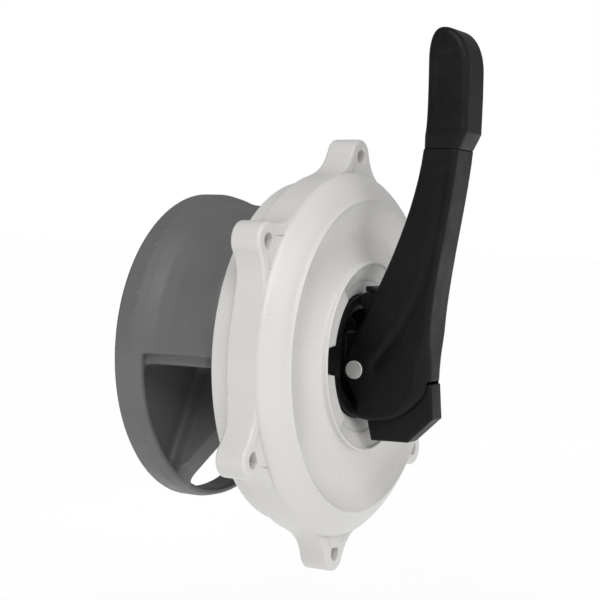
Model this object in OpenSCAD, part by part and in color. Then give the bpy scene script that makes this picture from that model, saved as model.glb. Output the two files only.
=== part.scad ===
// Lever-operated rotary diverter valve head: a round cover with six fixing lugs, a ported rotor
// behind it on a sliding shaft, and a lever in front that lifts and turns the rotor.
// The origin is the centre of the cover's mounting face. The shaft runs along Y, with the lever
// towards -Y, and the lever points up along +Z. Inside the modules, height h is measured
// outwards along the shaft from the mounting face, which is -Y in the finished part.

/* [Cover] */
// Number of fixing lugs
lug_count = 6; // [5:1:8]
// Diameter of the circle through the lug holes
lug_circle_d = 175; // [174:1:178]
// Diameter of each lug hole
lug_hole_d = 6.6; // [5:0.1:7]
// Radius of each lug's round end
lug_end_r = 8; // [7.5:0.5:9]
// Radius of the fillet between a lug and the flange
lug_fillet_r = 22; // [16:1:24]
// Angle of the first lug from the right-hand side
lug_start = 85.6; // [80:0.2:90]
// Radius of the flange
flange_r = 80; // [79:0.5:81]
// Thickness of the flange and lugs
flange_t = 13.5; // [12:0.5:14]
// Radius of the spigot behind the flange
spigot_r = 76; // [75:0.5:77]
// Length of the spigot
spigot_len = 10; // [8:0.5:12]
// Height of the fold between the domed band and the dish
fold_h = 23.3; // [22.5:0.1:24]
// Height of the lip around the central well
lip_h = 25; // [24.6:0.1:25.4]

/* [Index ledge] */
// Height of the ledge face
ledge_h = 24.1; // [23.6:0.1:24.3]
// Half angle of each ledge arc
ledge_half_angle = 49; // [40:1:54]
// Width of a notch at its outer end
notch_outer_w = 10.3; // [10.1:0.1:11]
// Width of a notch at its inner end
notch_inner_w = 12.3; // [12:0.1:13]

/* [Shaft] */
// Diameter of the shaft
shaft_d = 16; // [16:0.1:16.1]
// Diameter of the lever's pivot pin
pivot_d = 8; // [7.6:0.1:8]
// Height of the pivot pin above the mounting face
pivot_h = 21.5; // [21.3:0.1:21.8]
// How far the pivot pin sits below the shaft's centre line
pivot_drop = 5.5; // [5:0.1:6]

/* [Rotor] */
// Radius of the rotor's rim
rim_r = 69.7; // [69.5:0.1:70]
// Depth of the rotor's rear face behind the mounting face
rotor_rear = 62.5; // [62:0.1:63]
// Radius of the port openings
port_r = 66; // [65.5:0.1:66.3]
// Thickness of the webs between the ports
web_t = 9; // [8:0.5:10]
// Rise of the open web's top edge for each millimetre towards the centre
web_slope = 0.55; // [0.5:0.01:0.6]

/* [Lever] */
// Width of the lever
lever_w = 20; // [19:0.5:21]
// Width of the fork between the lever's cheeks
fork_w = 12; // [12:0.1:12.4]
// Height at which the grip starts, measured up from the shaft's centre line
grip_start = 90; // [89:0.5:91]
// Height of the lever's tip above the shaft's centre line
tip_z = 141.2; // [140:0.2:142]

/* [Hidden] */
$fn = 96;

shaft_r = shaft_d / 2;
run_gap = 0.08;      // radial gap of a running fit
fit_gap = 0.05;      // radial gap between pieces that are fixed together
eps = 1;             // how far a cutting tool runs past a face

// Gland, from the inside of the cover outwards
neck_r = 17;
neck_bottom = -8;
gland_r = 12.5;
gland_bottom = -6.5;
gland_top = 4.4;
seal_major = shaft_r + 1.08;
seal_minor = 1;
seal_heights = [-3.5, 0.7];
retainer_top = 5.6;
retainer_r = 13.3;
well_floor = 6;
wiper_top = 7.4;

// Central well and the shelf that carries the wear ring
well_r = 22.5;
shelf_h = 17.8;
shelf_r = 27.4;
ring_in = 23.2;
ring_out = 27;
ring_top = 21;
cup_bore = 13.5;
cup_in = 20.8;
cup_step_h = 19.3;
ledge_in = 33.1;
ledge_out = 40.4;
tab_out = 39.9;
tab_root_w = 11.4;
tab_tip_w = 9.4;
lip_out = 41.5;
fold_r = 68;
wall = 5;
rim_step = 0.4;       // how far the flange's edge stands above the lugs

// Rotor
band_r = 68.4;        // inner edge of the rim's chamfered band
band_h = -49.5;
rim_front = -54.3;
hub_r = 16;
hub_top = -17;
pocket_r = 13.5;
pocket_floor = -33;
nut_bore_r = 11.5;
nut_floor = -52;
shaft_shoulder = -47;
thread_r = 5;
spoke_top = -50;
blind_floor = -57;
rotor_pin_h = -42;
rotor_pin_r = 2.5;
seal_t = 1.8;
seal_proud = 0.6;

// Spring
seat_top = neck_bottom - 0.3;
seat_bottom = seat_top - 2;
spring_r = 11.2;
wire_r = 1.2;
spring_turns = 6;

// Yoke and shaft top
yoke_base_r = 11.5;
yoke_base_h = 7.8;
yoke_base_top = 14.6;
yoke_w = fork_w - 0.6;
shaft_top_r = 7;
shaft_top = 14.2;
yoke_pin_h = 11;
yoke_pin_r = 1.75;

// Lever
boss_r = 6.5;
bush_r = 4.9;
pivot_r = pivot_d / 2;
roller_c = [25.3, 24.5];
roller_r = 4;
tenon_end = 126;

// Points of an arc about c, from angle a0 to a1
function arc(c, r, a0, a1, n = 8) =
  [for (i = [0 : n]) c + r * [cos(a0 + (a1 - a0) * i / n), sin(a0 + (a1 - a0) * i / n)]];

// Points of a cubic curve with control points a, b, c, d, both ends included
function curve(a, b, c, d, n = 10) =
  [for (i = [0 : n]) let (t = i / n, u = 1 - t)
    u * u * u * a + 3 * u * u * t * b + 3 * u * t * t * c + t * t * t * d];

// Turns the modelling axes (x right, y up, z out along the shaft) into the part's axes
module along_shaft() rotate([90, 0, 0]) children();

// Extrudes a side view, drawn as (height h, up), evenly across the width w
module side_plate(w) along_shaft() rotate([0, -90, 0]) linear_extrude(w, center = true) children();

// A ring between two heights
module ring(r_in, r_out, h0, h1)
  rotate_extrude() polygon([[r_in, h0], [r_out, h0], [r_out, h1], [r_in, h1]]);

// A straight cylinder between two heights
module post(r, h0, h1) translate([0, 0, h0]) cylinder(r = r, h = h1 - h0);

// A wedge of the plane between two angles
module sector(a0, a1, r = 120)
  polygon(concat([[0, 0]], [for (i = [0 : 6]) r * [cos(a0 + (a1 - a0) * i / 6), sin(a0 + (a1 - a0) * i / 6)]]));

// ---- Cover ----

module lug_outline() {
  reach = lug_circle_d / 2;
  far = flange_r + lug_fillet_r;
  near = lug_end_r + lug_fillet_r;
  // angles at the cover's centre and at the lug's centre towards the centre of the fillet
  turn = acos((far * far + reach * reach - near * near) / (2 * far * reach));
  lean = acos((near * near + reach * reach - far * far) / (2 * near * reach));
  centre = far * [cos(turn), sin(turn)];
  // half of the outline, from the flange to the lug's tip
  half = concat(
    [(flange_r - wall) * [cos(turn), sin(turn)], (flange_r - 0.2) * [cos(turn), sin(turn)]],
    arc(centre, lug_fillet_r, 180 + turn + 3, 360 - lean, 8),
    arc([reach, 0], lug_end_r, 180 - lean - 9, 0, 10));
  other_half = [for (i = [len(half) - 2 : -1 : 0]) [half[i].x, -half[i].y]];
  difference() {
    polygon(concat(half, other_half));
    translate([reach, 0]) circle(lug_hole_d / 2);
  }
}

module cover_section() {
  polygon(concat(
    [[shaft_r + 2, neck_bottom], [shaft_r + 2, gland_bottom], [gland_r, gland_bottom],
     [gland_r, gland_top + 0.05], [retainer_r + 0.1, gland_top + 0.05],
     [retainer_r + 0.1, retainer_top + 0.05], [gland_r, retainer_top + 0.05], [gland_r, well_floor],
     [well_r, well_floor], [well_r, shelf_h], [shelf_r, shelf_h], [shelf_r, 18.9],
     [ledge_in - 0.1, 20.7], [ledge_in + 0.6, 21.4], [ledge_out, 23.7]],
    arc([ledge_out + 0.55, lip_h - 0.6], 0.6, 160, 20, 6),
    [[lip_out, 22.6]],
    // hollow of the dish
    arc([54.8, 50.5], 31.1, 244.8, 295, 14),
    [[fold_r + 0.5, fold_h]],
    // swelling of the domed band
    arc([62.2, 1.4], 22.1, 72.5, 37, 8),
    [[flange_r, flange_t + rim_step], [flange_r, 0], [spigot_r, 0], [spigot_r, 1 - spigot_len],
     [spigot_r - 1, -spigot_len], [spigot_r - wall, -spigot_len]],
    arc([61.5, 7], 9.5, 0, 90, 6),
    [[54, 14.6], [44, 15.8], [34, 12.9], [shelf_r, 12.9], [shelf_r, 1.5], [neck_r, 1.5],
     [neck_r, neck_bottom]]
  ));
}

module cover() {
  color("whitesmoke") along_shaft() difference() {
    union() {
      rotate_extrude() cover_section();
      for (i = [0 : lug_count - 1])
        rotate(lug_start + i * 360 / lug_count) linear_extrude(flange_t) lug_outline();
      ledge_arcs();
      stiffening_ribs();
    }
    notches();
  }
}

// Two raised arcs, left and right, that the wear ring is keyed between
module ledge_arcs() {
  difference() {
    ring(ledge_in, ledge_out + 0.3, shelf_h, ledge_h);
    for (top = [90, 270])
      translate([0, 0, shelf_h - eps]) linear_extrude(lip_h)
        sector(top - 90 + ledge_half_angle, top + 90 - ledge_half_angle);
  }
}

module notches() {
  for (side = [0, 180])
    rotate(side) translate([0, 0, shelf_h]) linear_extrude(lip_h - shelf_h + eps)
      polygon([[shelf_r - eps, -notch_inner_w / 2], [ledge_in, -notch_inner_w / 2],
               [ledge_out, -notch_outer_w / 2], [ledge_out, notch_outer_w / 2],
               [ledge_in, notch_inner_w / 2], [shelf_r - eps, notch_inner_w / 2]]);
}

// Ribs under the domed face, from the well wall to the spigot
module stiffening_ribs() {
  for (i = [0 : lug_count - 1])
    rotate(lug_start + i * 360 / lug_count) rotate([90, 0, 0]) linear_extrude(3, center = true)
      polygon([[shelf_r - 2, 3], [shelf_r - 2, 14], [34, 14], [44, 17], [62, 17], [72.5, 7],
               [72.5, -4], [66, 2], [shelf_r + 8, 6]]);
}

module wear_ring() {
  color("dimgray") along_shaft() union() {
    // a cup that lines the well, with a rim on the shelf
    rotate_extrude() polygon([[cup_bore, well_floor + 0.1], [well_r - 0.2, well_floor + 0.1], [well_r - 0.2, shelf_h],
                              [ring_out, shelf_h], [ring_out, ring_top], [ring_in, ring_top],
                              [ring_in, cup_step_h], [cup_in, cup_step_h], [cup_in, well_floor + 1.7],
                              [cup_bore, well_floor + 1.7]]);
    for (side = [0, 180])
      rotate(side) translate([0, 0, shelf_h]) linear_extrude(ring_top - shelf_h)
        polygon([[ring_out - 1, -tab_root_w / 2], [ledge_in, -tab_root_w / 2], [tab_out, -tab_tip_w / 2],
                 [tab_out, tab_tip_w / 2], [ledge_in, tab_root_w / 2], [ring_out - 1, tab_root_w / 2]]);
  }
}

// ---- Gland and seals ----

module gland_bush() {
  groove_r = seal_major + seal_minor + 0.03;
  color("ivory") along_shaft() difference() {
    ring(shaft_r + 0.1, gland_r - fit_gap, gland_bottom, gland_top);
    for (h = seal_heights) ring(shaft_r - eps, groove_r, h - seal_minor - 0.1, h + seal_minor + 0.1);
  }
}

module bush_retainer() {
  color("silver") along_shaft() difference() {
    ring(10.6, retainer_r, gland_top + 0.1, retainer_top);
    translate([0, 0, gland_top - eps]) linear_extrude(4) sector(83, 97);
  }
}

module shaft_seal(h)
  color("black") along_shaft() translate([0, 0, h]) rotate_extrude()
    translate([seal_major, 0]) circle(seal_minor, $fn = 32);

module outer_shaft_seal() shaft_seal(seal_heights[1]);

module inner_shaft_seal() shaft_seal(seal_heights[0]);

module wiper_ring() {
  color("black") along_shaft()
    rotate_extrude() polygon([[shaft_r + run_gap, 5.9], [gland_r - fit_gap, 5.9], [gland_r - fit_gap, 6.9],
                              [11.6, wiper_top], [shaft_r + run_gap, wiper_top]]);
}

// ---- Spring ----

module spring_seat() {
  color("silver") along_shaft() ring(shaft_r + 0.3, 13, seat_bottom, seat_top);
}

// Height of the wire's centre, with one closed turn at each end
function coil_h(turn) =
  let (low = pocket_floor + wire_r + 0.05, high = seat_bottom - wire_r - 0.05, lie = 2 * wire_r)
  turn < 1 ? low + lie * turn
  : turn > spring_turns - 1 ? high - lie * (spring_turns - turn)
  : low + lie + (high - low - 2 * lie) * (turn - 1) / (spring_turns - 2);

module return_spring() {
  sides = 8;
  steps = 28 * spring_turns;
  rings = [for (i = [0 : steps]) let (t = i / 28, a = 360 * t)
    [for (j = [0 : sides - 1]) let (b = 360 * j / sides, r = spring_r + wire_r * cos(b))
      [r * cos(a), r * sin(a), coil_h(t) + wire_r * sin(b)]]];
  points = [for (one = rings) for (p = one) p];
  walls = [for (i = [0 : steps - 1]) for (j = [0 : sides - 1]) let (k = (j + 1) % sides)
    [i * sides + j, i * sides + k, (i + 1) * sides + k, (i + 1) * sides + j]];
  start = [for (j = [sides - 1 : -1 : 0]) j];
  end = [for (j = [0 : sides - 1]) steps * sides + j];
  color("silver") along_shaft() polyhedron(points, concat([start], walls, [end]));
}

// ---- Shaft and rotor ----

module shaft() {
  color("silver") along_shaft() difference() {
    union() {
      post(shaft_r, shaft_shoulder, yoke_base_h);
      post(shaft_top_r, yoke_base_h - eps, shaft_top);
      post(thread_r, -61, shaft_shoulder + eps);
    }
    translate([0, 0, rotor_pin_h]) rotate([0, 90, 0]) cylinder(r = rotor_pin_r + 0.02, h = 40, center = true);
    translate([0, 0, yoke_pin_h]) rotate([90, 0, 0]) cylinder(r = yoke_pin_r + 0.02, h = 40, center = true);
  }
}

// Outside of the rotor's drum in section, from the rear face round to the hub
function drum_outside() = concat(
  [[rim_r, -rotor_rear], [rim_r, rim_front], [band_r, band_h], [66.4, -44.5], [65.2, -38],
   [64.6, -30], [64.4, -21]],
  arc([56.4, -21], 8, 15, 90, 5),
  [[36, -13], [30, hub_top], [hub_r, hub_top]]);

function drum_inside() = concat(
  [[hub_r, hub_top - 4], [28.4, hub_top - 4], [34.4, -17], [56.4, -17]],
  arc([56.4, -21], 4, 75, 0, 4),
  [[60.8, -38], [61.6, -46], [62.5, -54], [62.5, -rotor_rear]]);

// The solid space inside a web: between the hub and the drum's wall
module web_section() {
  polygon([[hub_r - 2, -rotor_rear], [64, -rotor_rear], [64, -50], [62, -38], [61, -22],
           [57, -16], [36, -16], [31, -20], [hub_r - 2, -20]]);
}

// The web that stands between the two open ports, with a sloping top
module open_web_section() {
  polygon([[hub_r - 2, -rotor_rear], [port_r + 1, -rotor_rear], [port_r + 1, band_h],
           [hub_r, band_h + web_slope * (port_r + 1 - hub_r)], [hub_r - 2, band_h + web_slope * (port_r + 1 - hub_r)]]);
}

// A plate that stands on a radius, with its near face moved sideways
module radial_plate(angle, t, shift = 0)
  rotate(angle) translate([0, shift, 0]) rotate([90, 0, 0]) linear_extrude(t, center = true) children();

// The plan of one open port, inside the webs on either side of it
module port_plan(a0, a1) {
  difference() {
    intersection() {
      circle(port_r);
      sector(a0, a1);
    }
    circle(hub_r + 3);
    for (a = [a0, a1]) rotate(a) translate([0, -web_t / 2]) square([port_r + 5, web_t]);
  }
}

module rotor() {
  open_from = 180;
  open_mid = 240;
  open_to = 300;
  floor_rear = -rotor_rear + 0.6;
  color("gray") along_shaft() difference() {
    union() {
      difference() {
        rotate_extrude() polygon(concat(drum_outside(), drum_inside()));
        // the drum is open in front of the two ports
        translate([0, 0, band_h]) linear_extrude(60) sector(open_from, open_to);
        translate([0, 0, -rotor_rear - eps]) linear_extrude(40) port_plan(open_from, open_mid);
        translate([0, 0, -rotor_rear - eps]) linear_extrude(40) port_plan(open_mid, open_to);
      }
      post(hub_r, floor_rear, hub_top);
      // closing walls of the drum
      radial_plate(open_from, web_t / 2, web_t / 4) web_section();
      radial_plate(open_to, web_t / 2, -web_t / 4) web_section();
      radial_plate(open_mid, web_t) open_web_section();
      // spokes at the rear face
      for (a = [0 : 60 : 300])
        rotate(a) translate([0, -web_t / 2, -rotor_rear]) cube([63, web_t, spoke_top + rotor_rear]);
      // floor of the blind port
      translate([0, 0, floor_rear]) linear_extrude(blind_floor - floor_rear)
        intersection() {
          circle(port_r + 1);
          sector(open_from, open_mid);
        }
    }
    post(shaft_r + fit_gap, shaft_shoulder, 0);
    post(pocket_r, pocket_floor, 0);
    post(thread_r + 0.15, -rotor_rear - eps, 0);
    post(nut_bore_r, -rotor_rear - eps, nut_floor);
    translate([0, 0, rotor_pin_h]) rotate([0, 90, 0]) cylinder(r = rotor_pin_r + 0.02, h = 31, center = true);
    translate([0, 0, -rotor_rear - eps]) linear_extrude(seal_t - seal_proud + eps) seal_plan(0.05);
  }
}

// Plan of the spider seal: a rim, a hub ring and six spokes
module seal_plan(gap) {
  difference() {
    circle(68.8 + gap);
    circle(66.9 - gap);
  }
  difference() {
    circle(15 + gap);
    circle(12.6 - gap);
  }
  for (a = [0 : 60 : 300]) rotate(a) translate([14, -1.5 - gap]) square([53.5, 3 + 2 * gap]);
}

module rotor_seal() {
  color("black") along_shaft()
    translate([0, 0, -rotor_rear - seal_proud]) linear_extrude(seal_t - 0.05) seal_plan(0);
}

module rotor_pin() {
  color("silver") along_shaft() translate([0, 0, rotor_pin_h]) rotate([0, 90, 0])
    cylinder(r = rotor_pin_r, h = 30, center = true);
}

module rotor_washer() {
  color("silver") along_shaft() ring(thread_r + 0.2, 10.5, nut_floor - 2, nut_floor);
}

module rotor_nut() {
  color("silver") along_shaft() difference() {
    translate([0, 0, nut_floor - 8]) cylinder(r = 9.2, h = 6, $fn = 6);
    post(thread_r + 0.02, -rotor_rear, nut_floor);
  }
}

// ---- Yoke, pin and lever ----

module yoke_outline() {
  pin = [pivot_h, -pivot_drop];
  translate(pin) circle(7);
  polygon([[13.5, -11], [18.5, -16.5], [24.5, -19], [26.5, -28.6], [28.4, -36.1], [45.8, -35.6],
           [57.2, -24.8], [56, -9.8], [49.5, -9.8], [46, -3], [34, 8], [22, 9.5], [13.5, 9]]);
}

module yoke() {
  color("black") difference() {
    union() {
      side_plate(yoke_w) yoke_outline();
      along_shaft() post(yoke_base_r, yoke_base_h, yoke_base_top);
    }
    side_plate(60) translate([pivot_h, -pivot_drop]) circle(pivot_r + 0.02);
    along_shaft() post(shaft_top_r + fit_gap, yoke_base_h - eps, shaft_top + 0.1);
    along_shaft() translate([0, 0, yoke_pin_h]) rotate([90, 0, 0])
      cylinder(r = yoke_pin_r + 0.02, h = 40, center = true);
  }
}

module yoke_pin() {
  color("silver") along_shaft() translate([0, 0, yoke_pin_h]) rotate([90, 0, 0])
    cylinder(r = yoke_pin_r, h = 22, center = true);
}

module pivot_pin() {
  color("silver") side_plate(lever_w + 0.4) translate([pivot_h, -pivot_drop]) circle(pivot_r);
}

// Side view of the lever's arm and cheeks
module lever_outline() {
  polygon(concat(
    [[22.4, -26.2], [21.6, -19.5], [17.5, -12], [16.5, -3]],
    curve([17, 2], [26.1, 21.7], [46.4, 56], [50.2, grip_start]),
    curve([66.1, grip_start], [63.8, 62], [55.4, 31.2], [55.7, 4]),
    [[55.8, -2], [55.6, -9]],
    arc([30, 3.3], 30.5, -36, -104, 10)));
  translate([pivot_h, -pivot_drop]) circle(boss_r);
}

// Side view of the open space between the cheeks
module fork_outline() {
  polygon([[5, -45], [70, -45], [70, -8.8], [51.6, -8.8], [51.2, 12], [46, 16], [32, 18], [24, 18], [5, 18]]);
}

module lever() {
  color("black") difference() {
    union() {
      difference() {
        side_plate(lever_w) lever_outline();
        side_plate(fork_w) fork_outline();
      }
      side_plate(fork_w) intersection() {
        translate(roller_c) circle(6.5);
        translate([24, 18]) square([12, 14]);
      }
      side_plate(11) polygon([[53.5, grip_start - 2], [62.5, grip_start - 2], [63.5, tenon_end], [56, tenon_end]]);
    }
    side_plate(lever_w + 2) translate([pivot_h, -pivot_drop]) circle(bush_r + 0.02);
    side_plate(fork_w) translate(roller_c) circle(roller_r + 0.04);
  }
}

module grip() {
  crown = [57.6, tip_z];
  color("black") difference() {
    intersection() {
      side_plate(lever_w + 0.6) polygon(concat(
        [[50.3, grip_start + 0.1]],
        curve([50.6, 96], [51.4, 100], [51.5, 108], [51.2, tip_z - 13.2], 6),
        curve([51.2, tip_z - 12.8], [51.2, tip_z - 5.2], crown - [4.4, 0], crown - [0.4, 0]),
        curve(crown, crown + [6.6, 0], [69.7, tip_z - 7], [69.7, tip_z - 19]),
        [[69.8, 112], [69.6, 97], [66.3, grip_start + 0.1]]));
      along_shaft() translate([0, 0, 40]) linear_extrude(40) grip_front();
    }
    side_plate(11.2) polygon([[53.4, grip_start - 2], [62.6, grip_start - 2], [63.6, tenon_end + 0.2],
                              [55.9, tenon_end + 0.2]]);
  }
}

// Front view of the grip, with rounded top corners
module grip_front() {
  half = lever_w / 2 + 1;
  round_r = 3.5;
  polygon(concat([[half, 60]], arc([half - round_r, tip_z - round_r + 0.1], round_r, 0, 90, 6),
    arc([round_r - half, tip_z - round_r + 0.1], round_r, 90, 180, 6), [[-half, 60]]));
}

module pin_bush(side) {
  cheek = (lever_w - fork_w) / 2;
  color("dimgray") translate([side * (fork_w + cheek) / 2, 0, 0]) difference() {
    side_plate(cheek) translate([pivot_h, -pivot_drop]) circle(bush_r);
    side_plate(cheek + 2) translate([pivot_h, -pivot_drop]) circle(pivot_r + 0.05);
  }
}

module left_pin_bush() pin_bush(-1);

module right_pin_bush() pin_bush(1);

module fulcrum_roller() {
  color("ivory") side_plate(fork_w - 0.4) translate(roller_c) circle(roller_r);
}

cover();
wear_ring();
gland_bush();
bush_retainer();
outer_shaft_seal();
inner_shaft_seal();
wiper_ring();
spring_seat();
return_spring();
shaft();
rotor();
rotor_seal();
rotor_pin();
rotor_washer();
rotor_nut();
yoke();
yoke_pin();
pivot_pin();
lever();
grip();
left_pin_bush();
right_pin_bush();
fulcrum_roller();
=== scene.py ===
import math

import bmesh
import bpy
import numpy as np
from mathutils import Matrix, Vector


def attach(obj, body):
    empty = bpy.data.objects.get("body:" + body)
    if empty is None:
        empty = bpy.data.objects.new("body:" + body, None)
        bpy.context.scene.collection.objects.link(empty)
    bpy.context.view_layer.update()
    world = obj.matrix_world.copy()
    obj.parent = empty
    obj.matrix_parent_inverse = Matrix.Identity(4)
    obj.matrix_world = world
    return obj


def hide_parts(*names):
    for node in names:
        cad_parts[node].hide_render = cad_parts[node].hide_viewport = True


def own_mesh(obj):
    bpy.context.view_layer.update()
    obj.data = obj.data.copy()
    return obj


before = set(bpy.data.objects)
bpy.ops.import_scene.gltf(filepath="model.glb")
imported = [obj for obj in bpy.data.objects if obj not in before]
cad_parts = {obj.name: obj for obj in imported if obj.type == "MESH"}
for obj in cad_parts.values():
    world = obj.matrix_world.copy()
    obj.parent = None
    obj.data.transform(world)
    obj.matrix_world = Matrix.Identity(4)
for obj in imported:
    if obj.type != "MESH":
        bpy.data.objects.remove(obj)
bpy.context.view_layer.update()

# A lever-operated rotary valve head: white cover with six lugs, grey ported rotor behind it,
# black lever in front. The moulded pieces are rebuilt here as smooth rounded bodies over their
# CAD solids; the small turned pieces keep their CAD meshes with softened edges.
# Shapes are written in millimetres in the part's own frame: x to the right, z up, and
# height h = -y outwards along the shaft from the cover's mounting face.

MM = 0.001

# ---- Distances: every field is negative inside its body ----


def arc(cx, cy, r, start, end, steps=8):
    """Points of an arc from angle start to angle end, in degrees"""
    angles = np.radians(np.linspace(start, end, steps + 1))
    return [(cx + r * math.cos(a), cy + r * math.sin(a)) for a in angles]


def bezier(a, b, c, d, steps=10):
    """Points of a cubic curve, both ends included"""
    a, b, c, d = (np.array(p, float) for p in (a, b, c, d))
    out = []
    for t in np.linspace(0, 1, steps + 1):
        u = 1 - t
        out.append(tuple(u * u * u * a + 3 * u * u * t * b + 3 * u * t * t * c + t * t * t * d))
    return out


def outline_distance(u, v, outline):
    """Signed distance from the points (u, v) to a closed outline"""
    points = np.array(outline, float)
    best = np.full(u.shape, np.inf)
    inside = np.zeros(u.shape, bool)
    for (ax, ay), (bx, by) in zip(points, np.roll(points, -1, axis=0)):
        ex, ey = bx - ax, by - ay
        length2 = ex * ex + ey * ey
        if length2 < 1e-9:
            continue
        wx, wy = u - ax, v - ay
        t = np.clip((wx * ex + wy * ey) / length2, 0, 1)
        best = np.minimum(best, (wx - ex * t) ** 2 + (wy - ey * t) ** 2)
        if ey:
            inside ^= ((ay > v) != (by > v)) & (u < ex * (v - ay) / ey + ax)
    return np.where(inside, -1, 1) * np.sqrt(best)


def tabulate(outline, pitch=0.2, margin=8):
    points = np.array(outline, float)
    lo, hi = points.min(0) - margin, points.max(0) + margin
    us, vs = np.arange(lo[0], hi[0], pitch), np.arange(lo[1], hi[1], pitch)
    table = outline_distance(*np.meshgrid(us, vs, indexing="ij"), outline)

    def look_up(u, v):
        a = np.clip((u - lo[0]) / pitch, 0, len(us) - 1.001)
        b = np.clip((v - lo[1]) / pitch, 0, len(vs) - 1.001)
        i, j = a.astype(int), b.astype(int)
        s, t = a - i, b - j
        near = table[i, j] * (1 - s) + table[i + 1, j] * s
        far = table[i, j + 1] * (1 - s) + table[i + 1, j + 1] * s
        return near * (1 - t) + far * t
    return look_up


def slab(value, low, high):
    """Distance outside the span from low to high"""
    return np.maximum(low - value, value - high)


def disc(u, v, centre, radius):
    """Distance outside a circle"""
    return np.hypot(u - centre[0], v - centre[1]) - radius


def both(a, b, r=0.0):
    """Where a and b overlap, with its outer edge rounded to radius r"""
    p, q = a + r, b + r
    return np.minimum(np.maximum(p, q), 0) + np.hypot(np.maximum(p, 0), np.maximum(q, 0)) - r


def join(a, b, k=1.0):
    """Union, with a fillet about k across"""
    blend = np.maximum(k - np.abs(a - b), 0) / k
    return np.minimum(a, b) - blend * blend * k / 4


def cut(a, b, k=1.0):
    """a without b, with the edge softened"""
    return -join(-a, b, k)


def fade(value, low, high):
    """0 below low, 1 above high, smooth between"""
    t = np.clip((value - low) / (high - low), 0, 1)
    return t * t * (3 - 2 * t)


# ---- Meshing ----


def surface_of(field, lo, hi, step):
    """Quads of the zero surface of a field: one point per crossed cell, drawn onto the surface"""
    lo, hi = np.array(lo, float), np.array(hi, float)
    counts = np.ceil((hi - lo) / step).astype(int) + 1
    axes = [lo[i] + step * np.arange(counts[i]) for i in range(3)]
    inside = np.empty(counts, bool)
    for i, x in enumerate(axes[0]):
        y, z = np.meshgrid(axes[1], axes[2], indexing="ij")
        inside[i] = field(np.full(y.shape, x), y, z) < 0
    corners = np.zeros(counts - 1, np.int8)
    for dx in (0, 1):
        for dy in (0, 1):
            for dz in (0, 1):
                corners += inside[dx:counts[0] - 1 + dx, dy:counts[1] - 1 + dy, dz:counts[2] - 1 + dz]
    crossed = (corners > 0) & (corners < 8)
    number = np.full(crossed.shape, -1)
    number[crossed] = np.arange(crossed.sum())
    points = lo + step * (np.argwhere(crossed) + 0.5)
    reach = step * 0.75
    home = points.copy()
    for _ in range(5):
        value = field(*points.T)
        slope = np.empty_like(points)
        for axis in range(3):
            ahead, behind = points.copy(), points.copy()
            ahead[:, axis] += 0.05
            behind[:, axis] -= 0.05
            slope[:, axis] = (field(*ahead.T) - field(*behind.T)) / 0.1
        size2 = np.maximum((slope ** 2).sum(1), 0.15)
        points -= (0.9 * value / size2)[:, None] * slope
        points = home + np.clip(points - home, -reach, reach)
    quads = []
    for axis in range(3):
        b, c = (axis + 1) % 3, (axis + 2) % 3
        here = np.moveaxis(inside, (axis, b, c), (0, 1, 2))
        cells = np.moveaxis(number, (axis, b, c), (0, 1, 2))
        edge = here[:-1] != here[1:]
        edge[:, 0] = edge[:, -1] = False
        edge[:, :, 0] = edge[:, :, -1] = False
        i, j, k = np.nonzero(edge)
        ring = np.stack([cells[i, j - 1, k - 1], cells[i, j, k - 1], cells[i, j, k], cells[i, j - 1, k]], 1)
        flip = ~here[i, j, k]
        ring[flip] = ring[flip][:, ::-1]
        quads.append(ring)
    return points, np.concatenate(quads)


def moulded(name, points, faces, body, nodes, material, bevel=0.0, crease=180):
    """A smooth piece made from points in millimetres, standing in for its CAD nodes

    Edges turning by more than the crease angle, in degrees, are shaded as sharp.
    """
    mesh = bpy.data.meshes.new(name)
    mesh.from_pydata((np.array(points) * MM).tolist(), [], [tuple(face) for face in faces])
    shape = bmesh.new()
    shape.from_mesh(mesh)
    bmesh.ops.remove_doubles(shape, verts=shape.verts, dist=0.002 * MM)
    bmesh.ops.recalc_face_normals(shape, faces=shape.faces)
    for face in shape.faces:
        face.smooth = True
    for edge in shape.edges:
        edge.smooth = edge.calc_face_angle(0) < math.radians(crease)
    shape.to_mesh(mesh)
    shape.free()
    piece = bpy.data.objects.new(name, mesh)
    bpy.context.scene.collection.objects.link(piece)
    if bevel:
        soften(piece, bevel)
    normals = piece.modifiers.new("normals", "WEIGHTED_NORMAL")
    normals.weight, normals.keep_sharp = 75, True
    mesh.materials.append(material)
    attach(piece, body)
    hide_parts(*nodes)
    return piece


def soften(piece, width):
    """Rounds a piece's sharp edges"""
    bevel = piece.modifiers.new("bevel", "BEVEL")
    bevel.width = width * MM
    bevel.segments = 2
    bevel.limit_method = "ANGLE"
    bevel.angle_limit = math.radians(35)
    bevel.harden_normals = True


# ---- Cover: a turned shell whose section changes along the ledge and the notches ----

LUG_COUNT = 6
LUG_START = 85.6        # angle of the first lug, in degrees
LUG_REACH = 87.5        # from the axis to a lug's hole
LUG_R = 8.0             # round end of a lug
LUG_HOLE_R = 3.3
LUG_EDGE = 1.2          # rounding of a lug's edges
LUG_FILLET = 22.0       # hollow fillet between lug and flange
FLANGE_R = 80.0
FLANGE_T = 13.5
LEDGE_ANGLE = 49.0      # where the ledge ends, in degrees from the notch's middle
RIB_HALF = 1.5

# section corners as (radius, height, rounding), from the neck up to the shelf
WELL_CORNERS = [(10, -8, 0.3), (10, -6.5, 0.1), (12.5, -6.5, 0.1), (12.5, 6, 0.3), (22.5, 6, 0.8),
                (22.5, 17.8, 0.4)]
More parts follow.
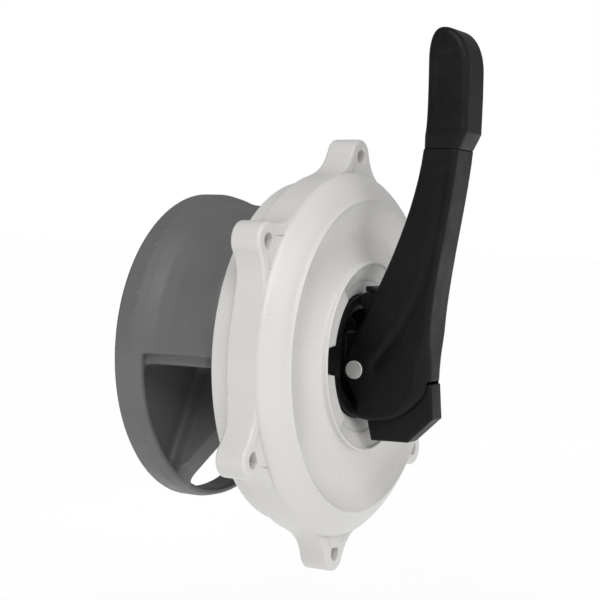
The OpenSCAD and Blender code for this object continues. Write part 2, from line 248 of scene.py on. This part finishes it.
# between the shelf and the lip the section is one of three
MIDDLE_CORNERS = {
    "notch": [(27.4, 17.8, 0), (27.6, 17.8, 0), (33.1, 17.8, 0), (36, 17.8, 0), (40.3, 17.8, 0.3)],
    "ledge": [(27.4, 17.8, 0.2), (27.4, 18.9, 0.3), (33.1, 20.7, 0.3), (33.1, 24.1, 0.45), (40.3, 24.1, 0.2)],
    "open": [(27.4, 17.8, 0.2), (27.4, 18.9, 0.3), (33, 20.7, 0.4), (33.7, 21.4, 0.3), (40.3, 23.7, 0.3)],
}


def outer_corners():
    """Section corners from the lip over the dish and the dome to the spigot, and back inside"""
    dish = [(r, h, 0) for r, h in arc(54.8, 50.5, 31.1, 245.2, 293.6, 16)]
    dome = [(r, h, 0) for r, h in arc(62.2, 1.4, 22.1, 71, 37.5, 10)]
    inner = [(r, h, 0) for r, h in arc(61.5, 7, 9.5, 0, 90, 6)]
    return ([(40.4, 25, 0.5), (41.5, 25, 0.5), (41.5, 22.7, 0.5)] + dish + [(68.4, 23.45, 0.3)] + dome
            + [(FLANGE_R, 13.9, 0.5), (FLANGE_R, 0, 0.7), (76, 0, 0.3), (76, -10, 1), (71, -10, 0.8)] + inner
            + [(54, 14.6, 1), (44, 15.8, 1), (34, 12.9, 1), (27.4, 12.9, 1), (27.4, 1.5, 1), (17, 1.5, 1),
               (17, -8, 0.5)])


def rounded(corners, steps=3):
    """A closed section with its corners rounded; a corner with no rounding stays one point"""
    points = np.array([c[:2] for c in corners], float)
    out = []
    for i, (_, _, radius) in enumerate(corners):
        here = points[i]
        if not radius:
            out.append(here)
            continue
        ends = []
        for other in (points[i - 1], points[(i + 1) % len(points)]):
            away = other - here
            length = max(np.hypot(*away), 1e-6)
            ends.append(here + away / length * min(radius, 0.45 * length))
        for t in np.linspace(0, 1, steps + 1):
            out.append((1 - t) ** 2 * ends[0] + 2 * t * (1 - t) * here + t * t * ends[1])
    return np.array(out)


def shell_columns():
    """Columns of one quarter as (position, section, next section, share of the next)

    Positions 0, 1, 2 and 3 are the notch's middle, its edge, the ledge's end and the top.
    """
    columns = [(u, "notch", "notch", 0) for u in (0, 0.2, 0.4, 0.6, 0.8, 0.9)]
    columns += [(0.955, "notch", "ledge", 0), (0.975, "notch", "ledge", 0.15), (1.0, "notch", "ledge", 0.5),
                (1.005, "notch", "ledge", 0.85), (1.012, "notch", "ledge", 1)]
    columns += [(1 + 0.06 * i, "ledge", "ledge", 0) for i in range(1, 16)]
    columns += [(1.988, "ledge", "open", 0), (1.994, "ledge", "open", 0.15), (2.0, "ledge", "open", 0.5),
                (2.006, "ledge", "open", 0.85), (2.012, "ledge", "open", 1)]
    return columns + [(2 + 0.0625 * i, "open", "open", 0) for i in range(1, 17)]


def notch_edge(radius):
    """Angle of a notch's edge at a radius"""
    half_width = np.interp(radius, (33.1, 40.4), (6.15, 5.15))
    return np.degrees(np.arcsin(half_width / np.clip(radius, 27, 40.4)))


def cover_shell():
    sections = {kind: rounded(WELL_CORNERS + middle + outer_corners())
                for kind, middle in MIDDLE_CORNERS.items()}
    # a corner left sharp in one kind of section is one point there, so all are brought to one count
    count = {kind: [1 if not c[2] else 4 for c in middle] for kind, middle in MIDDLE_CORNERS.items()}
    first = sum(4 for _ in WELL_CORNERS)
    for kind, sizes in count.items():
        whole, at, out = sections[kind], first, list(sections[kind][:first])
        for size in sizes:
            out += [whole[at]] * 4 if size == 1 else list(whole[at:at + 4])
            at += size
        sections[kind] = np.array(out + list(whole[at:]))
    quarter = shell_columns()
    columns = ([(0, 1, c) for c in quarter] + [(180, -1, c) for c in quarter[-2::-1]]
               + [(180, 1, c) for c in quarter[1:]] + [(360, -1, c) for c in quarter[-2:0:-1]])
    verts, rows = [], len(sections["open"])
    for base, sign, (u, kind, after, share) in columns:
        points = sections[kind] * (1 - share) + sections[after] * share
        radius, height = points.T
        edge = notch_edge(radius)
        angle = np.select([u <= 1, u <= 2], [u * edge, edge + (u - 1) * (LEDGE_ANGLE - edge)],
                          LEDGE_ANGLE + (u - 2) * (90 - LEDGE_ANGLE))
        turn = np.radians(base + sign * angle)
        verts += list(np.stack([radius * np.cos(turn), -height, radius * np.sin(turn)], 1))
    quads = []
    for c in range(len(columns)):
        d = (c + 1) % len(columns)
        for r in range(rows):
            q = (r + 1) % rows
            quads.append((c * rows + r, c * rows + q, d * rows + q, d * rows + r))
    return verts, quads


def lug_outline():
    """Outline of one lug round its hole, pointing along the first axis, and inward directions"""
    far, near = FLANGE_R + LUG_FILLET, LUG_R + LUG_FILLET
    turn = math.acos((far ** 2 + LUG_REACH ** 2 - near ** 2) / (2 * far * LUG_REACH))
    lean = math.degrees(math.acos((near ** 2 + LUG_REACH ** 2 - far ** 2) / (2 * near * LUG_REACH)))
    foot = [(r * math.cos(turn), r * math.sin(turn)) for r in (72, 76, FLANGE_R - 0.3)]
    fillet = arc(far * math.cos(turn), far * math.sin(turn), LUG_FILLET,
                 182 + math.degrees(turn), 358.5 - lean, 14)
    half = foot + fillet + arc(LUG_REACH, 0, LUG_R, 178.5 - lean, 0, 16)
    points = np.array(half + [(u, -v) for u, v in reversed(half[:-1])])
    along = np.roll(points, -1, axis=0) - np.roll(points, 1, axis=0)
    inward = np.stack([along[:, 1], -along[:, 0]], 1) / np.hypot(*along.T)[:, None]
    if ((points[len(points) // 2] - (LUG_REACH, 0)) * inward[len(points) // 2]).sum() > 0:
        inward = -inward
    return points, inward


def swung(u, v, height, angle):
    """A point of the plan, turned about the shaft by an angle in radians"""
    return u * math.cos(angle) - v * math.sin(angle), -height, u * math.sin(angle) + v * math.cos(angle)


def cover_lugs():
    points, inward = lug_outline()
    count = len(points)
    # angles round the hole, kept in order so that no face folds over
    toward = np.arctan2(points[:, 1], points[:, 0] - LUG_REACH)
    for i in range(1, count):
        toward[i] = min(toward[i], toward[i - 1] - 0.004)
    rim = np.stack([np.cos(toward), np.sin(toward)], 1)
    # the rounding dies out where the lug runs into the flange
    free = np.clip((np.hypot(*points.T) - FLANGE_R) / 4, 0, 1)
    # the lug's rear face lies a hair above the flange's, so the two never coincide
    rear = 0.03
    loops = []
    for inset, height in ((LUG_EDGE, rear), (0.5, 0.2), (0.1, 0.7), (0, 1.3), (0, FLANGE_T - LUG_EDGE),
                          (0.12, FLANGE_T - 0.7), (0.45, FLANGE_T - 0.25), (LUG_EDGE, FLANGE_T)):
        loops.append((points + inward * inset * free[:, None], height))
    # a loop halfway keeps the flat faces inside the hollow fillets
    near = np.clip((points[:, 0] - 78) / 6, 0, 1)[:, None]
    halfway = (1 - near) * points * (1, 0.5) + near * (rim * 6 + (LUG_REACH, 0))
    loops.append((halfway, FLANGE_T))
    for wider, height in ((0.7, FLANGE_T), (0.2, FLANGE_T - 0.15), (0, FLANGE_T - 0.6), (0, 0.6), (0.2, 0.15),
                          (0.7, rear)):
        loops.append((rim * (LUG_HOLE_R + wider) + (LUG_REACH, 0), height))
    loops.append((halfway, rear))
    verts, quads = [], []
    for lug in range(LUG_COUNT):
        angle = math.radians(LUG_START + 360 / LUG_COUNT * lug)
        start = len(verts)
        for plan, height in loops:
            verts += [swung(u, v, height, angle) for u, v in plan]
        for r in range(len(loops)):
            q = (r + 1) % len(loops)
            for c in range(count):
                d = (c + 1) % count
                corners = (r * count + c, r * count + d, q * count + d, q * count + c)
                quads.append(tuple(start + n for n in corners))
    return verts, quads


def cover_ribs():
    """Ribs behind the domed face, one in line with each lug; the side view is (radius, height)"""
    side = [(25.5, 3), (25.5, 14), (34, 13.6), (44, 16.4), (54, 15.4), (62, 16.2), (70, 10), (71.5, 6),
            (71.5, -4), (66, 2), (35, 6)]
    verts, quads = [], []
    for rib in range(LUG_COUNT):
        angle = math.radians(LUG_START + 360 / LUG_COUNT * rib)
        start = len(verts)
        for across in (-RIB_HALF, RIB_HALF):
            verts += [swung(u, across, height, angle) for u, height in side]
        n = len(side)
        quads.append(tuple(start + i for i in range(n)))
        quads.append(tuple(start + n + i for i in reversed(range(n))))
        for i in range(n):
            j = (i + 1) % n
            quads.append((start + i, start + n + i, start + n + j, start + j))
    return verts, quads


# ---- Rotor ----

OPEN_FROM, OPEN_MID, OPEN_TO = 180, 240, 300    # the two ports cut open in front, in degrees
REAR = -62.5            # height of the rear face
BAND_H = -49.5          # front edge of the band round the rear
DRUM_H = -17            # front face of the closed drum at the hub
HUB_R = 16.0
WEB_T = 9.0             # thickness of the walls between the ports


def plate_axes(x, z, angle):
    """Distance along and across a plate that stands on a radius"""
    a = math.radians(angle)
    return x * math.cos(a) + z * math.sin(a), z * math.cos(a) - x * math.sin(a)


def wedge(x, z, start, end, inset=0.0):
    """A sector of the plan, between two radii moved inwards"""
    _, from_start = plate_axes(x, z, start)
    _, from_end = plate_axes(x, z, end)
    return np.maximum(inset - from_start, from_end + inset)


def rotor_field():
    """The rotor; its wall's section and its webs' side views are (radius, height)"""
    outside = ([(69.4, REAR)] + arc(69.1, -61.9, 0.6, -60, 0, 3)
               + [(69.7, -54.3), (68.4, BAND_H), (66.4, -44.5), (65.2, -38), (64.6, -30), (64.4, -21)]
               + arc(56.4, -21, 8, 15, 90, 8) + [(36, -13), (30, DRUM_H), (HUB_R, DRUM_H)])
    inside = ([(HUB_R, -21), (28.4, -21), (34.4, -17), (56.4, -17)] + arc(56.4, -21, 4, 75, 0, 5)
              + [(60.8, -38), (61.6, -46), (62.5, -54), (62.5, REAR)])
    wall = tabulate(outside + inside)
    closing = tabulate([(14, REAR), (64, REAR), (64, -50), (62, -38), (61, -22), (57, -16), (36, -16),
                        (31, -20), (14, -20)])
    # the web between the open ports slopes up towards the hub
    top = BAND_H + 0.55 * (67 - HUB_R)
    open_web = tabulate([(14, REAR), (67, REAR), (67, BAND_H - 0.4), (66, BAND_H + 0.2), (HUB_R, top),
                         (14, top)])
    sixth, web_half, lowest = math.pi / 3, WEB_T / 2, REAR + 0.6

    def field(x, y, z):
        h, radius, angle = -y, np.hypot(x, z), np.arctan2(z, x)
        body = wall(radius, h)
        body = cut(body, both(wedge(x, z, OPEN_FROM, OPEN_TO), BAND_H - h, 0.5), 1.0)
        for start, end in ((OPEN_FROM, OPEN_MID), (OPEN_MID, OPEN_TO)):
            port = both(wedge(x, z, start, end, web_half), radius - 66, 3.0)
            body = cut(body, both(port, h + 22), 0.8)
        body = join(body, both(radius - HUB_R, slab(h, lowest, DRUM_H), 0.6), 2.0)
        # the drum's end walls, then the open web, then the six spokes on the rear face
        along, side = plate_axes(x, z, OPEN_FROM)
        body = join(body, both(closing(along, h), slab(side, 0, web_half), 0.8), 2.0)
        along, side = plate_axes(x, z, OPEN_TO)
        body = join(body, both(closing(along, h), slab(side, -web_half, 0), 0.8), 2.0)
        along, side = plate_axes(x, z, OPEN_MID)
        body = join(body, both(open_web(along, h), np.abs(side) - web_half, 1.2), 2.5)
        turned = np.mod(angle + sixth / 2, sixth) - sixth / 2
        along, side = radius * np.cos(turned), radius * np.sin(turned)
        spoke = both(np.abs(side) - web_half, slab(h, REAR, -50), 0.8)
        body = join(body, np.maximum(spoke, along - 63), 1.0)
        # the first open port is blind, and the hub is bored in steps
        floor = both(both(wedge(x, z, OPEN_FROM, OPEN_MID), radius - 67), slab(h, lowest, -57), 0.3)
        body = join(body, floor, 3.0)
        bores = np.minimum(both(radius - 13.5, -33 - h), both(radius - 11.5, h + 52))
        bores = np.minimum(bores, both(radius - 8.1, -47 - h))
        return cut(body, np.minimum(bores, radius - 5.2), 0.4)
    return field


# ---- Lever, grip and yoke: side views are (height, up) ----

PIVOT = (21.5, -5.5)
ROLLER = (25.3, 24.5)
GRIP_START = 90.0       # where the grip meets the arm
TIP = 141.2
ARM_HALF = 10.0         # half the width of the arm
GRIP_HALF = 10.3
GAP_HALF = 6.0          # half the gap between the cheeks
TENON_TOP = 126.0


def distance_to_line(h, z, line):
    """Distance from points in the side view to a line of several pieces"""
    best = np.full(h.shape, np.inf)
    for (ah, az), (bh, bz) in zip(line, line[1:]):
        eh, ez = bh - ah, bz - az
        t = np.clip(((h - ah) * eh + (z - az) * ez) / (eh * eh + ez * ez), 0, 1)
        best = np.minimum(best, np.hypot(h - ah - eh * t, z - az - ez * t))
    return best


def lever_field():
    """The arm: an outline with rounded edges, forked below and with a tenon for the grip above"""
    arm = ([(22.4, -26.2), (21.6, -19.5), (17.5, -12), (16.5, -3)]
           + bezier((17, 2), (26.1, 21.7), (46.4, 56), (50.2, GRIP_START), 16) + [(51.6, 108), (67, 108)]
           + bezier((66.1, GRIP_START), (63.8, 62), (55.4, 31.2), (55.7, 4), 16)
           + [(55.8, -2), (55.6, -9)] + arc(30, 3.3, 30.5, -36, -104, 14))
    fork = [(5, -45), (70, -45), (70, -8.8), (51.6, -8.8), (51.2, 12), (46, 16), (32, 18), (24, 18), (5, 18)]
    outline, fork = tabulate(arm), tabulate(fork)
    crease = [(61, 80), (59, 62), (56.5, 48), (53.5, 36), (49.0, 25), (42.9, 13.1), (36.2, 4.1), (31, -3)]

    def field(x, y, z):
        h, across = -y, np.abs(x)
        plan = join(outline(h, z), disc(h, z, PIVOT, 6.5), 0.6)
        # softened all round, and nearly ball-shaped at the lower front
        r = 2.6 + 4.4 * fade(h, 40, 54) * fade(-z, -14, 4)
        body = both(plan, across - ARM_HALF, r)
        # the cheeks and the arm's sides are slightly hollow behind the front edge
        valley = distance_to_line(h, z, crease)
        body = body + 0.65 * np.exp(-(valley / 2.2) ** 2) * fade(across, 6, 9)
        body = np.maximum(body, z - GRIP_START)
        body = cut(body, both(fork(h, z), across - GAP_HALF), 0.8)
        holder = both(disc(h, z, ROLLER, 6.5), across - GAP_HALF)
        body = np.minimum(body, np.maximum(holder, np.maximum(18 - z, 24 - h)))
        tenon = both(slab(h, 55.5, 62.5), across - 5.5, 1.0)
        body = np.minimum(body, np.maximum(tenon, slab(z, GRIP_START - 2, TENON_TOP)))
        eye = np.minimum(disc(h, z, PIVOT, 4.92), both(disc(h, z, ROLLER, 4.04), across - GAP_HALF))
        return cut(body, eye, 0.5)
    return field


def grip_field():
    """The grip: a flat-fronted bar with a socket for the tenon"""
    side = ([(49.5, 80), (50.3, GRIP_START)]
            + bezier((50.6, 96), (51.4, 100), (51.5, 108), (51.2, TIP - 13.2), 8)
            + bezier((51.2, TIP - 12.8), (51.2, TIP - 5.2), (53.2, TIP), (57.2, TIP), 10)
            + bezier((57.6, TIP), (64.2, TIP), (69.7, TIP - 7), (69.7, TIP - 19), 12)
            + [(69.8, 112), (69.6, 97), (66.3, GRIP_START + 0.1), (65.5, 80)])
    profile = tabulate(side)

    def field(x, y, z):
        h, across = -y, np.abs(x)
        # the grip swells out of the arm over a short bevel
        half = GRIP_HALF - 0.5 * fade(-z, -96, -90.5)
        body = both(profile(h, z), across - half, 3.0)
        # its sides are slightly hollow, with a soft rim near the front, the top and the step
        rim = np.maximum(np.maximum(h - 63.5, 54.5 - h), np.maximum(z - 131, 97.5 - z))
        body = body + 0.6 * fade(-rim, -1.5, 2.5) * fade(across, 6, 9)
        body = np.maximum(body, GRIP_START + 0.1 - z)
        socket = both(slab(h, 55.3, 62.7), across - 5.6)
        return np.maximum(body, -np.maximum(socket, z - TENON_TOP - 0.2))
    return field


def yoke_field():
    """The block between and below the cheeks, on a round base that takes the shaft"""
    block = [(13.5, -11), (18.5, -16.5), (24.5, -19), (26.5, -28.6), (28.4, -36.1), (45.8, -35.6),
             (57.2, -24.8), (56, -9.8), (49.5, -9.8), (46, -3), (34, 8), (22, 9.5), (13.5, 9)]
    outline = tabulate(block)

    def field(x, y, z):
        h, across = -y, np.abs(x)
        plan = np.minimum(outline(h, z), disc(h, z, PIVOT, 7))
        body = both(plan, across - 5.7, 1.3)
        base = both(np.hypot(x, z) - 11.5, slab(h, 7.8, 14.6), 0.8)
        body = join(body, base, 1.2)
        shaft = both(np.hypot(x, z) - 7.05, h - 14.3)
        cross = np.minimum(disc(h, z, PIVOT, 4.02), disc(h, x, (11, 0), 1.77))
        return cut(body, np.minimum(shaft, cross), 0.4)
    return field


# ---- Materials ----


class Shader:
    """A principled material with a few procedural helpers"""

    def __init__(self, name, color, roughness, metallic=0.0, specular=0.5):
        self.material = bpy.data.materials.new(name)
        self.material.use_nodes = True
        self.tree = self.material.node_tree
        self.bsdf = self.tree.nodes["Principled BSDF"]
        self.bsdf.inputs["Base Color"].default_value = (*color, 1)
        self.bsdf.inputs["Roughness"].default_value = roughness
        self.bsdf.inputs["Metallic"].default_value = metallic
        self.bsdf.inputs["Specular IOR Level"].default_value = specular
        self.place = self.node("ShaderNodeTexCoord").outputs["Object"]
        self.height = None

    def node(self, kind, **values):
        made = self.tree.nodes.new(kind)
        for key, value in values.items():
            setattr(made, key, value)
        return made

    def link(self, source, target):
        self.tree.links.new(source, target)

    def noise(self, scale, detail=3.0, rough=0.5, stretch=None):
        """Noise in the part's own space, with scale features a metre"""
        made = self.node("ShaderNodeTexNoise")
        made.inputs["Scale"].default_value = scale
        made.inputs["Detail"].default_value = detail
        made.inputs["Roughness"].default_value = rough
        place = self.place
        if stretch:
            mapping = self.node("ShaderNodeMapping")
            mapping.inputs["Scale"].default_value = stretch
            self.link(place, mapping.inputs["Vector"])
            place = mapping.outputs["Vector"]
        self.link(place, made.inputs["Vector"])
        return made.outputs["Fac"]

    def remap(self, value, low, high, from_low=0.3, from_high=0.7):
        """Brings a value from the span from_low to from_high to the span low to high"""
        made = self.node("ShaderNodeMapRange")
        made.inputs["From Min"].default_value = from_low
        made.inputs["From Max"].default_value = from_high
        made.inputs["To Min"].default_value = low
        made.inputs["To Max"].default_value = high
        self.link(value, made.inputs["Value"])
        return made.outputs["Result"]

    def mix(self, factor, a, b):
        """Mixes two colours, each a socket or a plain colour"""
        made = self.node("ShaderNodeMix", data_type="RGBA")
        self.link(factor, made.inputs["Factor"])
        for socket, value in ((made.inputs[6], a), (made.inputs[7], b)):
            if hasattr(value, "links"):
                self.link(value, socket)
            else:
                socket.default_value = (*value, 1)
        return made.outputs[2]

    def edges(self, low=0.52, high=0.60):
        """1 along the outer edges, 0 elsewhere: the mask for a painted highlight"""
        return self.remap(self.node("ShaderNodeNewGeometry").outputs["Pointiness"], 0, 1, low, high)

    def painted_shade_hollows(self, low=0.40, high=0.48):
        """1 in the inner corners, 0 elsewhere: the mask for painted shade"""
        return self.remap(self.node("ShaderNodeNewGeometry").outputs["Pointiness"], 1, 0, low, high)

    def color(self, socket):
        self.link(socket, self.bsdf.inputs["Base Color"])

    def roughness(self, socket):
        self.link(socket, self.bsdf.inputs["Roughness"])

    def bump(self, height, strength, distance):
        """Adds a layer of relief; distance is in metres"""
        made = self.node("ShaderNodeBump")
        made.inputs["Strength"].default_value = strength
        made.inputs["Distance"].default_value = distance
        self.link(height, made.inputs["Height"])
        if self.height is not None:
            self.link(self.height, made.inputs["Normal"])
        self.height = made.outputs["Normal"]
        self.link(self.height, self.bsdf.inputs["Normal"])


def white_plastic():
    """Glossy moulded white, with faint flow marks and ripples, a painted highlight along the outer edges and
    painted shade in the corners
    """
    s = Shader("white_cover", (0.72, 0.705, 0.68), 0.3)
    flow = s.remap(s.noise(14, 4, 0.55, (1, 1, 0.4)), 0, 1)
    base = s.mix(flow, (0.665, 0.655, 0.64), (0.635, 0.624, 0.606))
    # painted highlight: the outer edges are drawn lighter
    base = s.mix(s.edges(0.54, 0.70), base, (0.71, 0.70, 0.69))
    # painted shade: the inner corners are drawn darker
    s.color(s.mix(s.painted_shade_hollows(0.32, 0.46), base, (0.54, 0.525, 0.50)))
    s.roughness(s.remap(s.noise(55, 5, 0.65), 0.24, 0.40))
    s.bump(s.noise(300, 1), 0.04, 0.0002)
    s.bump(s.noise(40, 1), 0.05, 0.0008)
    return s.material


def grey_plastic():
    """Satin grey with flow marks and a fine grain, with painted shade in the corners"""
    s = Shader("rotor_grey", (0.13, 0.13, 0.13), 0.5)
    flow = s.remap(s.noise(22, 5, 0.6, (1, 0.35, 1)), 0, 1)
    base = s.mix(flow, (0.110, 0.111, 0.113), (0.133, 0.134, 0.136))
    # painted shade: the inner corners are drawn darker
    base = s.mix(s.painted_shade_hollows(0.38, 0.47), base, (0.075, 0.075, 0.075))
    s.color(base)
    s.roughness(s.remap(s.noise(90, 4, 0.6), 0.40, 0.60))
    s.bump(s.noise(1300, 3, 0.6), 0.25, 0.00012)
    s.bump(s.noise(120, 2), 0.08, 0.0006)
    return s.material


def black_plastic(name="lever_black", low=0.34, high=0.52, grain=0.35):
    """Fine-grained black glass-filled plastic: fibres show faintly, and a painted highlight lightens the
    edges
    """
    s = Shader(name, (0.012, 0.012, 0.013), 0.42, specular=0.17)
    cloud = s.remap(s.noise(35, 4, 0.6), 0, 1)
    base = s.mix(cloud, (0.0045, 0.0045, 0.005), (0.008, 0.008, 0.0085))
    fibre = s.remap(s.noise(1500, 2, 0.5, (1, 1, 0.12)), 0, 0.6, 0.62, 0.75)
    base = s.mix(fibre, base, (0.022, 0.022, 0.023))
    # painted highlight: the outer edges are drawn lighter
    s.color(s.mix(s.edges(0.54, 0.66), base, (0.02, 0.02, 0.021)))
    s.roughness(s.remap(s.noise(70, 5, 0.65), low, high))
    s.bump(s.noise(1700, 3, 0.6), grain, 0.00012)
    s.bump(s.noise(160, 2), 0.08, 0.0005)
    return s.material


def steel():
    """Turned stainless steel: fine rings, small scratches and a slightly dull film"""
    s = Shader("steel", (0.8, 0.79, 0.76), 0.4, metallic=0.6)
    film = s.remap(s.noise(120, 4, 0.6), 0, 1)
    s.color(s.mix(film, (0.84, 0.83, 0.79), (0.70, 0.69, 0.65)))
    s.roughness(s.remap(s.noise(260, 4, 0.7), 0.38, 0.58))
    s.bump(s.noise(2200, 2, 0.5, (1, 0.05, 1)), 0.25, 0.00008)
    return s.material


def ivory_plastic():
    """Natural acetal: waxy, with faint turning marks"""
    s = Shader("bush_ivory", (0.62, 0.57, 0.46), 0.4)
    s.color(s.mix(s.remap(s.noise(80, 3), 0, 1), (0.64, 0.60, 0.49), (0.57, 0.52, 0.41)))
    s.roughness(s.remap(s.noise(200, 3), 0.34, 0.5))
    s.bump(s.noise(1800, 2, 0.5, (1, 0.06, 1)), 0.2, 0.00008)
    return s.material


def rubber():
    """Black nitrile with a dusty bloom"""
    s = Shader("seal_rubber", (0.02, 0.02, 0.02), 0.65)
    bloom = s.remap(s.noise(150, 4, 0.6), 0, 1)
    s.color(s.mix(bloom, (0.016, 0.016, 0.016), (0.035, 0.034, 0.033)))
    s.roughness(s.remap(s.noise(320, 3), 0.55, 0.78))
    s.bump(s.noise(2500, 3), 0.3, 0.0001)
    return s.material


# ---- Small pieces that keep their CAD meshes ----


def dress(node, material, edge=0.0):
    """Gives a CAD node its material and, where it has sharp edges, a small rounding"""
    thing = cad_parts[node]
    thing.data.materials.clear()
    thing.data.materials.append(material)
    if not edge:
        return
    with bpy.context.temp_override(object=thing, active_object=thing, selected_objects=[thing]):
        bpy.ops.mesh.customdata_custom_splitnormals_clear()
    for polygon in thing.data.polygons:
        polygon.use_smooth = True
    weld = thing.modifiers.new("weld", "WELD")
    weld.merge_threshold = 0.000005
    flatten = thing.modifiers.new("flatten", "DECIMATE")
    flatten.decimate_type = "DISSOLVE"
    flatten.angle_limit = math.radians(0.5)
    soften(thing, edge)


# ---- Camera, lights and floor ----

CAMERA_PLACE = Vector((-0.5817, -0.3115, 0.0518))
CAMERA_TARGET = Vector((-0.00846, 0.00708, 0.02343))
CAMERA_ROLL = 1.77
CAMERA_LENS = 88.9


def add_camera():
    data = bpy.data.cameras.new("camera")
    data.lens = CAMERA_LENS
    data.sensor_width = 36
    data.clip_end = 50
    camera = bpy.data.objects.new("camera", data)
    bpy.context.scene.collection.objects.link(camera)
    aim = (CAMERA_TARGET - CAMERA_PLACE).to_track_quat("-Z", "Y").to_matrix().to_4x4()
    roll = Matrix.Rotation(math.radians(CAMERA_ROLL), 4, "Z")
    camera.matrix_world = Matrix.Translation(CAMERA_PLACE) @ aim @ roll
    bpy.context.scene.camera = camera


def add_sun(name, toward, strength, softness):
    """A soft distant light that shines from the direction toward"""
    data = bpy.data.lights.new(name, "SUN")
    data.energy = strength
    data.angle = math.radians(softness)
    light = bpy.data.objects.new(name, data)
    bpy.context.scene.collection.objects.link(light)
    light.matrix_world = Vector(toward).to_track_quat("Z", "Y").to_matrix().to_4x4()


def add_studio():
    """White surroundings, dimmer as light than as a backdrop, two soft lights and a pale floor"""
    world = bpy.data.worlds.new("studio")
    world.use_nodes = True
    tree = world.node_tree
    background = tree.nodes["Background"]
    background.inputs["Color"].default_value = (1, 1, 1, 1)
    path = tree.nodes.new("ShaderNodeLightPath")
    dim = tree.nodes.new("ShaderNodeMapRange")
    dim.inputs["To Min"].default_value = 0.30
    dim.inputs["To Max"].default_value = 1.0
    tree.links.new(path.outputs["Is Camera Ray"], dim.inputs["Value"])
    tree.links.new(dim.outputs["Result"], background.inputs["Strength"])
    bpy.context.scene.world = world
    bpy.context.scene.view_settings.view_transform = "Standard"
    add_sun("key", (-0.75, -0.42, 0.85), 1.75, 50)
    add_sun("front", (-0.1, -1.0, 0.5), 0.5, 40)
    # a wide pale floor, well below the hanging part
    size, level = 30.0, -0.24
    corners = [(-size, -size, level), (size, -size, level), (size, size, level), (-size, size, level)]
    mesh = bpy.data.meshes.new("floor")
    mesh.from_pydata(corners, [], [(0, 1, 2, 3)])
    floor = bpy.data.objects.new("floor", mesh)
    bpy.context.scene.collection.objects.link(floor)
    s = Shader("floor_pale", (0.9, 0.9, 0.9), 0.9, specular=0.1)
    s.color(s.mix(s.remap(s.noise(3, 2), 0, 1), (0.93, 0.93, 0.93), (0.91, 0.91, 0.91)))
    s.bsdf.inputs["Emission Color"].default_value = (1, 1, 1, 1)
    s.bsdf.inputs["Emission Strength"].default_value = 0.3
    floor.data.materials.append(s.material)


# ---- Build ----


def build():
    white, grey, black = white_plastic(), grey_plastic(), black_plastic()
    smooth_black = black_plastic("ring_black", 0.26, 0.40, 0.12)
    metal, ivory, seal = steel(), ivory_plastic(), rubber()
    for name, (points, faces), bevel, crease in (("cover_shell", cover_shell(), 0, 180),
                                                 ("cover_lugs", cover_lugs(), 0, 40),
                                                 ("cover_ribs", cover_ribs(), 0.5, 180)):
        moulded(name, points, faces, "cover", ["cover"], white, bevel, crease)
    # name, field, corners and step of its grid, body, CAD node, slot, material
    rounded_bodies = (
        ("rotor_body", rotor_field(), (-72, 11, -72), (72, 65, 72), 0.8,
         "rotor", "rotor", "rotor_grey", grey),
        ("lever_arm", lever_field(), (-11, -69, -30), (11, -13, 128), 0.55,
         "lever", "lever", "lever_black", black),
        ("lever_grip", grip_field(), (-12, -72, 88), (12, -48, 144), 0.5,
         "lever", "grip", "lever_black", black),
        ("yoke_block", yoke_field(), (-13, -59, -38), (13, -6, 13), 0.5,
         "rotor", "yoke", "lever_black", black),
    )
    for name, field, lo, hi, step, body, node, slot, material in rounded_bodies:
        points, faces = surface_of(field, lo, hi, step)
        if node == "rotor":
            # no point stands proud of the gasket's seat
            points[:, 1] = np.minimum(points[:, 1], -REAR)
        moulded(name, points, faces, body, [node], material)
    small = (
        (smooth_black, 0.3, ("wear_ring", "left_pin_bush", "right_pin_bush", "fulcrum_roller")),
        (ivory, 0.2, ("gland_bush",)),
        (metal, 0.25, ("bush_retainer", "spring_seat", "shaft", "rotor_pin", "rotor_washer", "rotor_nut",
                       "yoke_pin", "pivot_pin")),
        (metal, 0.0, ("return_spring",)),
        (seal, 0.15, ("wiper_ring",)),
        (seal, 0.0, ("outer_shaft_seal", "inner_shaft_seal", "rotor_seal")),
    )
    for material, edge, nodes in small:
        for node in nodes:
            dress(node, material, edge)
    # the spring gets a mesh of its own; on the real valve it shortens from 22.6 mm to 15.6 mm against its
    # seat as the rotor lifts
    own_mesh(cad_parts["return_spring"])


add_camera()
add_studio()
build()
